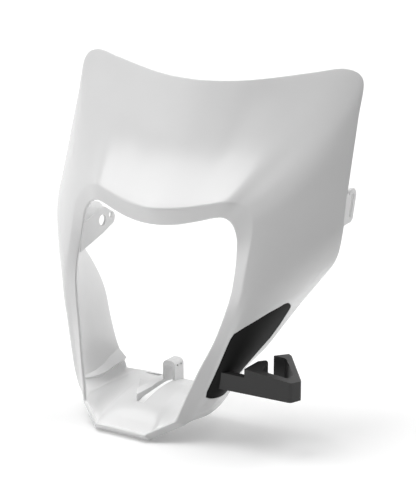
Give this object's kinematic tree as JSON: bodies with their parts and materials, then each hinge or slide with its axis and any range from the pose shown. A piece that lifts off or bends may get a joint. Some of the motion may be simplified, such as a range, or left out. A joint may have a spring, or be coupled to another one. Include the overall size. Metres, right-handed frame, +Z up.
{
  "type": "motorcycle headlight mask",
  "caption": "Leaning headlight mask for an off-road motorcycle: number plate, brow, headlight opening, slotted floor, side tabs and a black hose guide clip.",
  "frame": {"origin": "middle of the axis of the two tab holes that carry the headlight", "axes": "+Z up, the mask faces -Y, +X to the viewer's right when facing the mask (the motorcycle's left)"},
  "size_m": [0.2516, 0.1359, 0.2583],
  "materials": {
    "white_plastic": "satin",
    "black_plastic": "satin",
    "screw_steel": "zinc plated"
  },
  "bodies": {
    "root": {"mask_shell": "white_plastic", "hose_guide": "black_plastic", "guide_screws": "screw_steel"}
  },
  "joints": []
}
